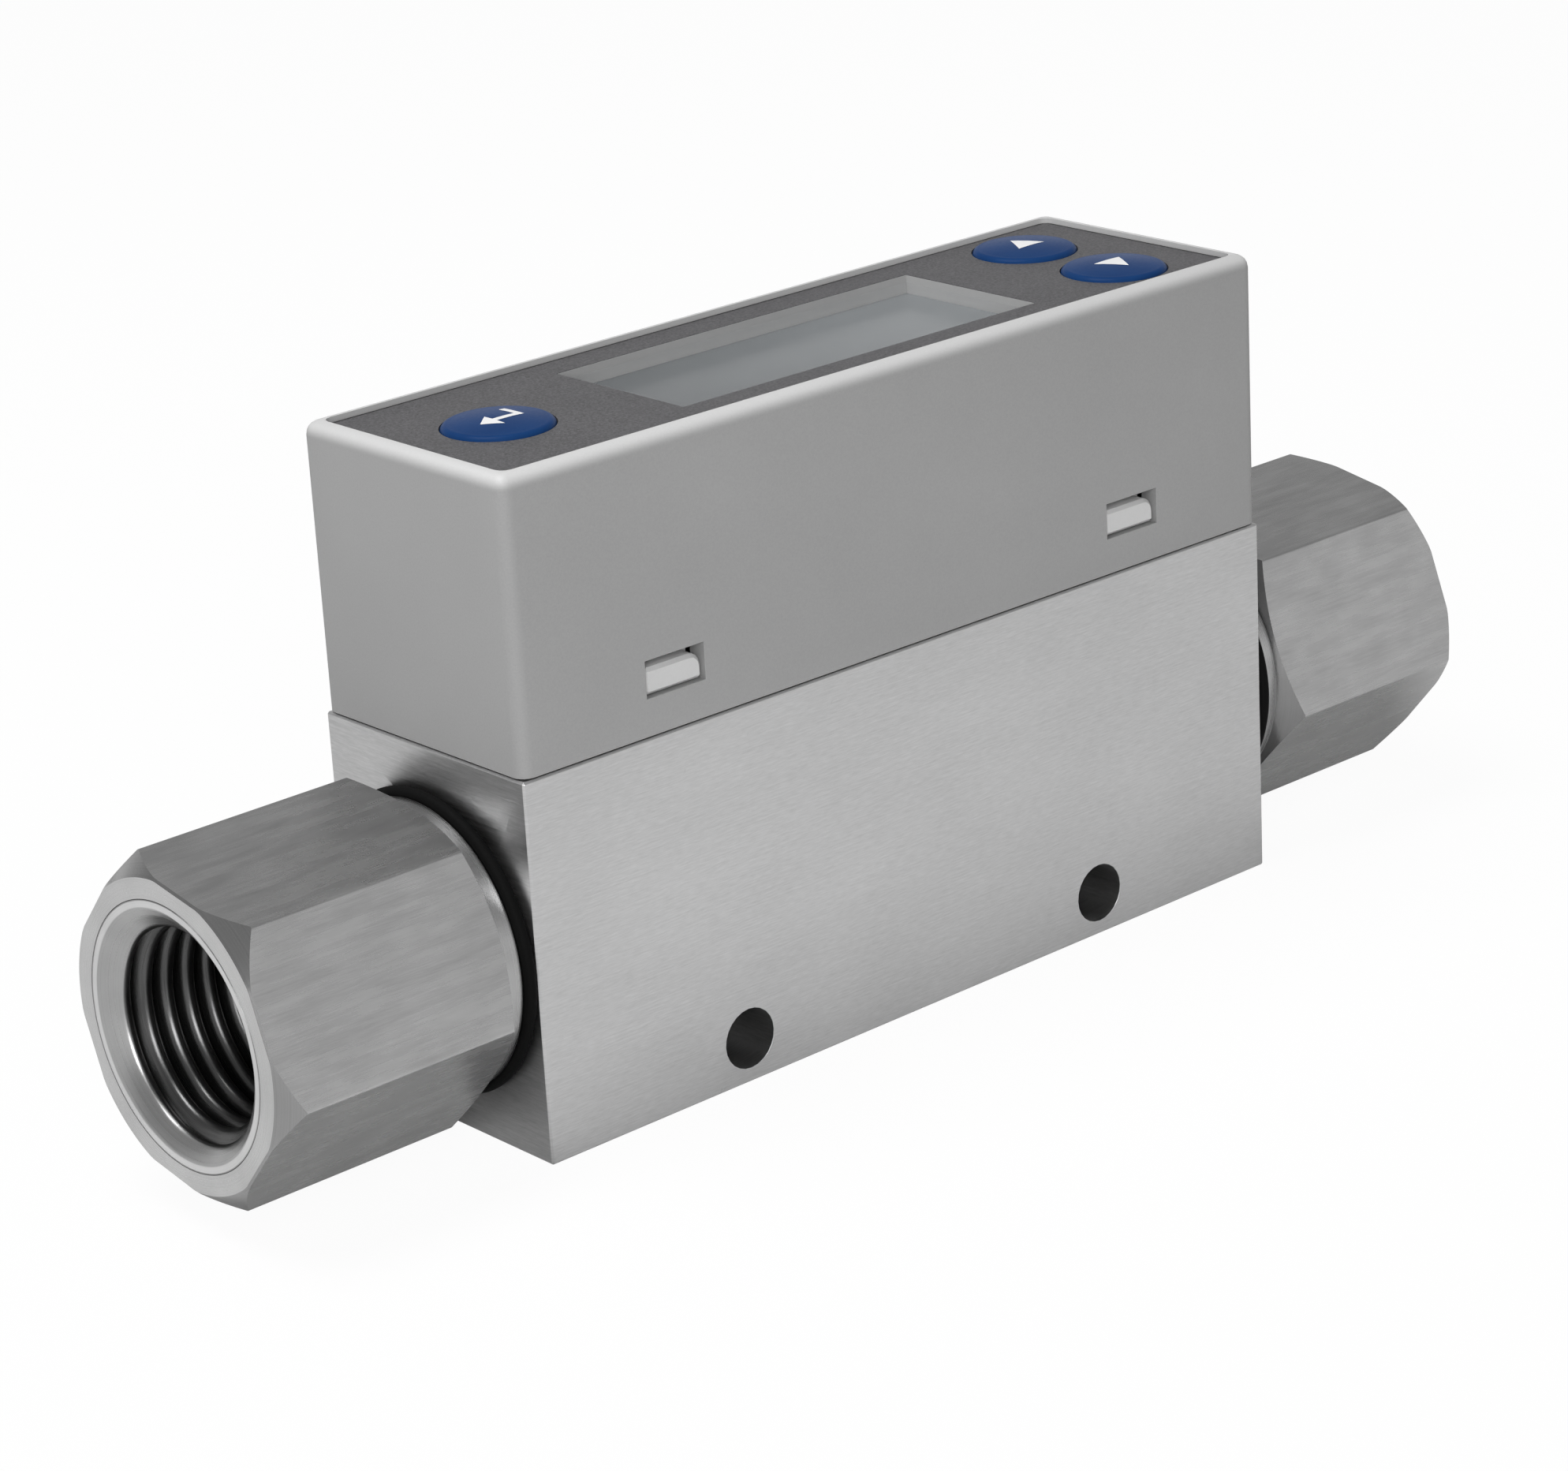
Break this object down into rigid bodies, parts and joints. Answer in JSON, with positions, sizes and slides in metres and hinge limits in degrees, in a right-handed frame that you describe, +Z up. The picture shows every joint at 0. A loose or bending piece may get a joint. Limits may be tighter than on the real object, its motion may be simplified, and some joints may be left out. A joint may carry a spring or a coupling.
{
  "type": "gas mass flow meter",
  "caption": "Portable gas mass flow meter: a metal flow block with threaded hexagonal port fittings, under a display cover with push keys.",
  "frame": {"origin": "middle of the flow block's underside", "axes": "+X runs with the gas, from the inlet to the outlet; +Y from the front face to the back, where the data socket opens; +Z up, through the display"},
  "size_m": [0.0904, 0.0194, 0.0384],
  "materials": {
    "block_aluminium": "finely brushed, satin",
    "fitting_steel": "milled and lightly brushed",
    "screen_steel": "plain",
    "seal_rubber": "smooth black",
    "cover_plastic": "fine matte, lighter on the rounded rim",
    "chassis_plastic": "plain white",
    "overlay_film": "fine speckle",
    "lens_plastic": "clear",
    "display_glass": "grey display glass",
    "light_guide": "milky",
    "frame_steel": "plain",
    "key_plastic": "smooth blue",
    "switch_plastic": "plain black",
    "board_laminate": "green solder mask",
    "chip_resin": "plain black",
    "carrier_plastic": "plain dark",
    "cell_wrap": "plain grey wrap",
    "screw_steel": "plain",
    "contact_metal": "plain"
  },
  "bodies": {
    "housing": {"flow_block": "block_aluminium", "inlet_fitting": "fitting_steel", "outlet_fitting": "fitting_steel", "inlet_seal": "seal_rubber", "outlet_seal": "seal_rubber", "inlet_screen": "screen_steel", "outlet_screen": "screen_steel", "inlet_spacer_ring": "screen_steel", "outlet_spacer_ring": "screen_steel", "flow_straightener": "carrier_plastic", "sensor_carrier": "carrier_plastic", "sensor_chip": "chip_resin", "sensor_board": "board_laminate", "sensor_seal": "seal_rubber", "carrier_screw_inlet_side": "screw_steel", "carrier_screw_outlet_side": "screw_steel", "chassis": "chassis_plastic", "chassis_screw_inlet_side": "screw_steel", "chassis_screw_outlet_side": "screw_steel", "battery_cell": "cell_wrap", "main_board": "board_laminate", "control_chip": "chip_resin", "board_link": "contact_metal", "data_socket": "frame_steel", "display_frame": "frame_steel", "display_glass": "display_glass", "backlight": "light_guide", "cover": "cover_plastic", "overlay": "overlay_film", "window_lens": "lens_plastic", "mode_switch": "switch_plastic", "up_switch": "switch_plastic", "down_switch": "switch_plastic"},
    "mode_key": {"mode_key": "key_plastic", "mode_plunger": "switch_plastic"},
    "up_key": {"up_key": "key_plastic", "up_plunger": "switch_plastic"},
    "down_key": {"down_key": "key_plastic", "down_plunger": "switch_plastic"}
  },
  "joints": [
    {"name": "mode_press", "type": "slide", "parent": "housing", "child": "mode_key", "axis": [0, 0, -1], "range_m": [0, 0.0003], "stiffness_N_per_m": 1500},
    {"name": "up_press", "type": "slide", "parent": "housing", "child": "up_key", "axis": [0, 0, -1], "range_m": [0, 0.0003], "stiffness_N_per_m": 1500},
    {"name": "down_press", "type": "slide", "parent": "housing", "child": "down_key", "axis": [0, 0, -1], "range_m": [0, 0.0003], "stiffness_N_per_m": 1500}
  ]
}
